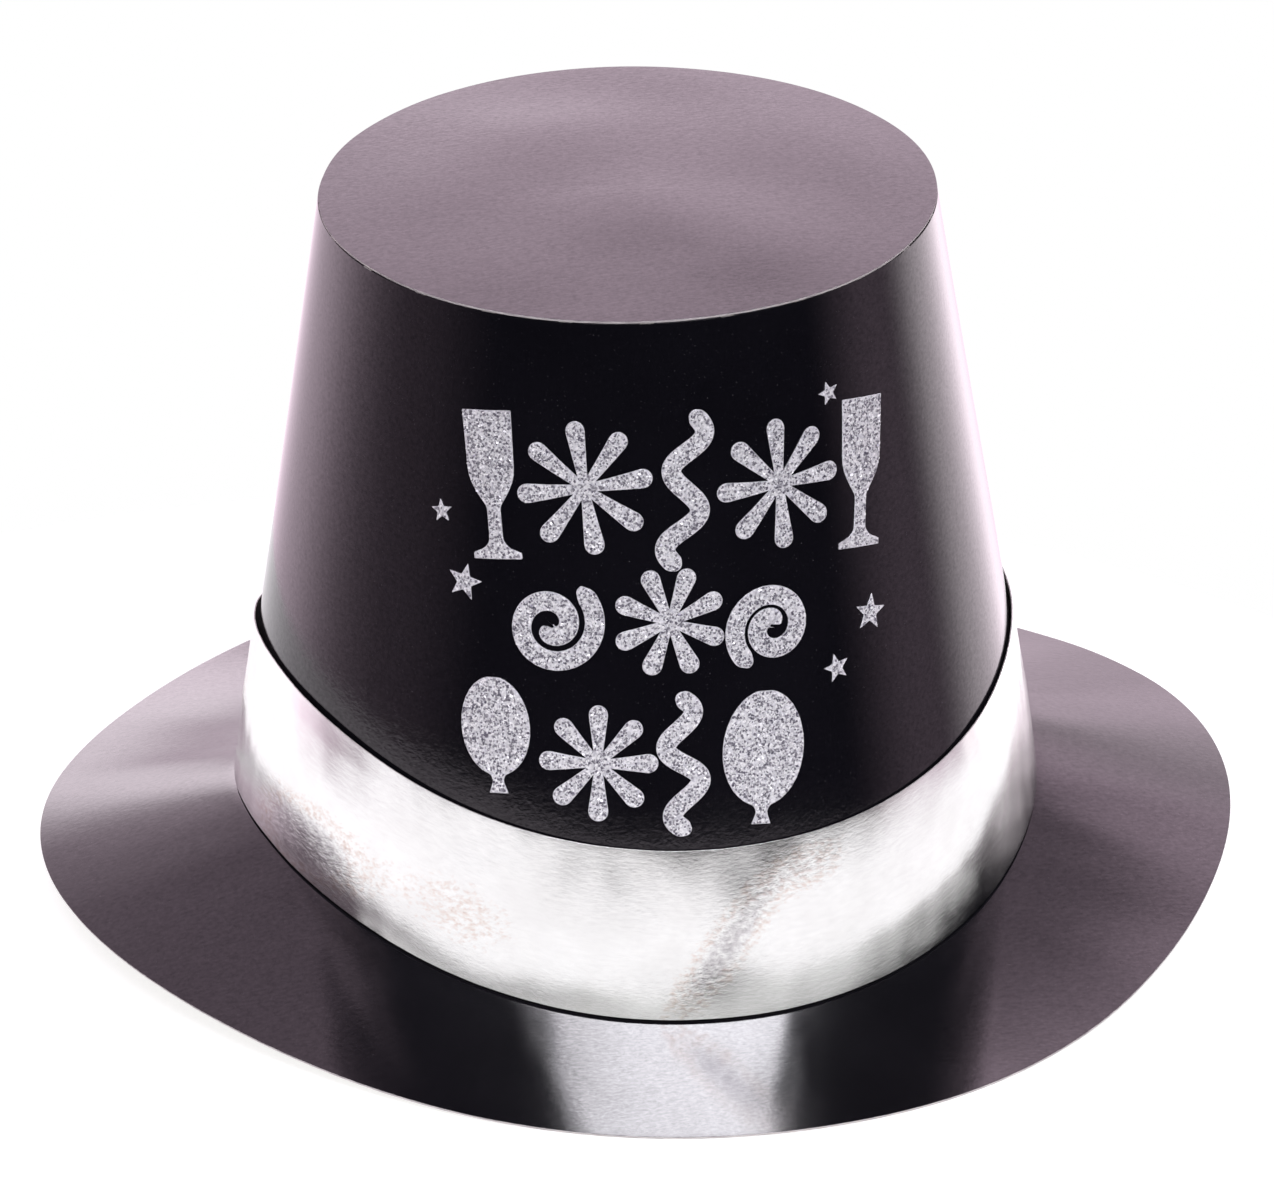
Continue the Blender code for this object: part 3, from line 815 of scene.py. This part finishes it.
def print_picture(node, varnish, glitter):
    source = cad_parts[node]
    pad = bpy.data.objects.new("print_" + node.replace("glitter_", ""), source.data.copy())
    bpy.context.scene.collection.objects.link(pad)
    pad.data.materials.clear()
    pad.data.materials.append(varnish)
    close_ring(pad, PAD_WELD)
    round_outline(pad)
    sink_pad(pad)
    flakes = scatter_flakes(pad)
    flakes.data.materials.append(glitter)
    only(pad)
    bevel = pad.modifiers.new("Rounded varnish", "BEVEL")
    bevel.width = VARNISH_ROUNDING
    bevel.segments = 2
    bevel.limit_method = "ANGLE"
    bevel.angle_limit = math.radians(40)
    bevel.use_clamp_overlap = False
    bpy.ops.object.modifier_apply(modifier=bevel.name)
    bpy.ops.object.shade_smooth_by_angle(angle=math.radians(40))
    flakes.select_set(True)
    bpy.ops.object.join()
    fit(pad, node)


varnish = varnish_pad()
glitter = glitter_flakes()
for node in sorted(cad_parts):
    if node.startswith("glitter_"):
        print_picture(node, varnish, glitter)


# ---------------------------------------------------------------- studio
# A small round pale table that glows a little, so that shadows stay soft, in a room of
# large soft panels. The panels are part of the surround, and the backdrop is white.

TABLE_RADIUS = 0.275
TABLE_MIDDLE = (-0.062, -0.068, -0.2 * MM)
TABLE_GLOW = 0.68
MAUVE = (1.15, 0.90, 1.07)
WHITE = (1.00, 0.99, 1.00)
COOL = (0.98, 0.98, 1.05)
ROSE = (1.06, 0.97, 1.02)


def pale_table():
    nodes = Nodes("pale_table")
    nodes.shader.inputs["Base Color"].default_value = (0.52, 0.52, 0.52, 1.0)
    nodes.shader.inputs["Roughness"].default_value = 0.9
    nodes.shader.inputs["Specular IOR Level"].default_value = 0.1
    nodes.shader.inputs["Emission Color"].default_value = (1.0, 1.0, 1.0, 1.0)
    nodes.shader.inputs["Emission Strength"].default_value = TABLE_GLOW
    return nodes.material


deselect_all()
bpy.ops.mesh.primitive_circle_add(vertices=96, radius=TABLE_RADIUS, fill_type="NGON",
                                  location=TABLE_MIDDLE)
bpy.ops.object.transform_apply(location=True)
table = bpy.context.object
table.name = "table_top"
table.data.materials.append(pale_table())


class Surround:
    """The world's light. Azimuth 0 is in front of the hat, and 90 is at +X."""

    def __init__(self, name):
        self.world = bpy.data.worlds.new(name)
        self.world.use_nodes = True
        self.tree = self.world.node_tree
        self.tree.nodes.clear()
        spot = self.tree.nodes.new("ShaderNodeTexCoord")
        axes = self.tree.nodes.new("ShaderNodeSeparateXYZ")
        self.tree.links.new(spot.outputs["Generated"], axes.inputs["Vector"])
        ahead = self.math("MULTIPLY", axes.outputs["Y"], -1.0)
        self.azimuth = self.math("ARCTAN2", axes.outputs["X"], ahead)
        self.elevation = self.math("ARCSINE", axes.outputs["Z"])
        self.light = None

    def math(self, operation, *values):
        node = self.tree.nodes.new("ShaderNodeMath")
        node.operation = operation
        for index, value in enumerate(values):
            if isinstance(value, (int, float)):
                node.inputs[index].default_value = value
            else:
                self.tree.links.new(value, node.inputs[index])
        return node.outputs[0]

    def window(self, angle, middle, half, softness):
        """1 near the middle angle, falling smoothly to 0 round half the width away."""
        away = self.math("SUBTRACT", angle, math.radians(middle))
        away = self.math("ABSOLUTE", self.math("WRAP", away, math.pi, -math.pi))
        fade = self.tree.nodes.new("ShaderNodeMapRange")
        fade.interpolation_type = "SMOOTHSTEP"
        fade.inputs["From Min"].default_value = math.radians(half - softness)
        fade.inputs["From Max"].default_value = math.radians(half + softness)
        fade.inputs["To Min"].default_value = 1.0
        fade.inputs["To Max"].default_value = 0.0
        self.tree.links.new(away, fade.inputs["Value"])
        return fade.outputs["Result"]

    def panel(self, azimuth, elevation, half_width, half_height, softness, strength, colour):
        across = self.window(self.azimuth, azimuth, half_width, softness[0])
        upward = self.window(self.elevation, elevation, half_height, softness[1])
        share = self.math("MULTIPLY", across, upward)
        glow = self.tree.nodes.new("ShaderNodeVectorMath")
        glow.operation = "SCALE"
        glow.inputs[0].default_value = [channel * strength for channel in colour]
        self.tree.links.new(share, glow.inputs["Scale"])
        if self.light is None:
            self.light = glow.outputs[0]
            return
        total = self.tree.nodes.new("ShaderNodeVectorMath")
        total.operation = "ADD"
        self.tree.links.new(self.light, total.inputs[0])
        self.tree.links.new(glow.outputs[0], total.inputs[1])
        self.light = total.outputs[0]

    def finish(self):
        lit = self.tree.nodes.new("ShaderNodeBackground")
        self.tree.links.new(self.light, lit.inputs["Color"])
        backdrop = self.tree.nodes.new("ShaderNodeBackground")
        backdrop.inputs["Color"].default_value = (1.0, 1.0, 1.0, 1.0)
        rays = self.tree.nodes.new("ShaderNodeLightPath")
        switch = self.tree.nodes.new("ShaderNodeMixShader")
        self.tree.links.new(rays.outputs["Is Camera Ray"], switch.inputs["Fac"])
        self.tree.links.new(lit.outputs["Background"], switch.inputs[1])
        self.tree.links.new(backdrop.outputs["Background"], switch.inputs[2])
        output = self.tree.nodes.new("ShaderNodeOutputWorld")
        self.tree.links.new(switch.outputs["Shader"], output.inputs["Surface"])
        bpy.context.scene.world = self.world


room = Surround("soft_studio")
room.panel(179.0, 0.0, 57.0, 120.0, (28.0, 10.0), 0.88, MAUVE)      # rear wall
room.panel(179.0, -20.0, 57.0, 50.0, (28.0, 15.0), 0.30, ROSE)      # rear wall, lower part
room.panel(-115.0, -8.0, 35.0, 40.0, (20.0, 25.0), 0.30, MAUVE)     # low wash, left
room.panel(78.0, -14.0, 16.0, 16.0, (14.0, 8.0), 0.50, MAUVE)       # low wash, right
room.panel(122.0, -3.0, 25.0, 28.0, (12.0, 10.0), 1.75, ROSE)       # low panel, right
room.panel(164.0, 21.0, 11.0, 12.5, (5.0, 6.0), 1.00, MAUVE)        # rear softbox
room.panel(146.0, 36.0, 10.0, 8.0, (6.0, 5.0), 1.15, MAUVE)         # rear softbox, right
room.panel(172.0, 11.0, 7.0, 7.0, (4.0, 4.0), 1.40, WHITE)          # rear strip, low
room.panel(-2.0, 6.5, 88.0, 4.5, (5.0, 2.0), 2.00, WHITE)           # low card, front
room.panel(-3.0, 47.5, 33.0, 8.0, (6.0, 1.5), 11.5, COOL)           # front softbox
room.panel(0.0, 90.0, 180.1, 15.0, (0.0, 5.0), 3.00, WHITE)         # overhead
room.finish()
bpy.context.scene.view_settings.view_transform = "Standard"

VIEW_AZIMUTH = -15.61
VIEW_ELEVATION = 25.63
VIEW_DISTANCE = 4.0
VIEW_ROLL = -0.756
VIEW_LENS = 498.9
VIEW_SIDE = 0.9 * MM
VIEW_HEIGHT = 51.5 * MM

turn, rise = math.radians(VIEW_AZIMUTH), math.radians(VIEW_ELEVATION)
back = Vector((math.sin(turn) * math.cos(rise), -math.cos(turn) * math.cos(rise), math.sin(rise)))
right = Vector((0.0, 0.0, 1.0)).cross(back).normalized()
up = back.cross(right)
roll_turn = math.radians(VIEW_ROLL)
leaned_right = right * math.cos(roll_turn) + up * math.sin(roll_turn)
leaned_up = up * math.cos(roll_turn) - right * math.sin(roll_turn)
aim = right * VIEW_SIDE + Vector((0.0, 0.0, CUT_LEVEL + VIEW_HEIGHT))
camera_data = bpy.data.cameras.new("long_lens")
camera_data.lens = VIEW_LENS
camera_data.sensor_width = 36.0
camera_data.clip_start = 0.5
camera_data.clip_end = 30.0
camera = bpy.data.objects.new("camera", camera_data)
camera.matrix_world = Matrix.Translation(aim + back * VIEW_DISTANCE) @ Matrix(
    (leaned_right, leaned_up, back)).transposed().to_4x4()
bpy.context.scene.collection.objects.link(camera)
bpy.context.scene.camera = camera
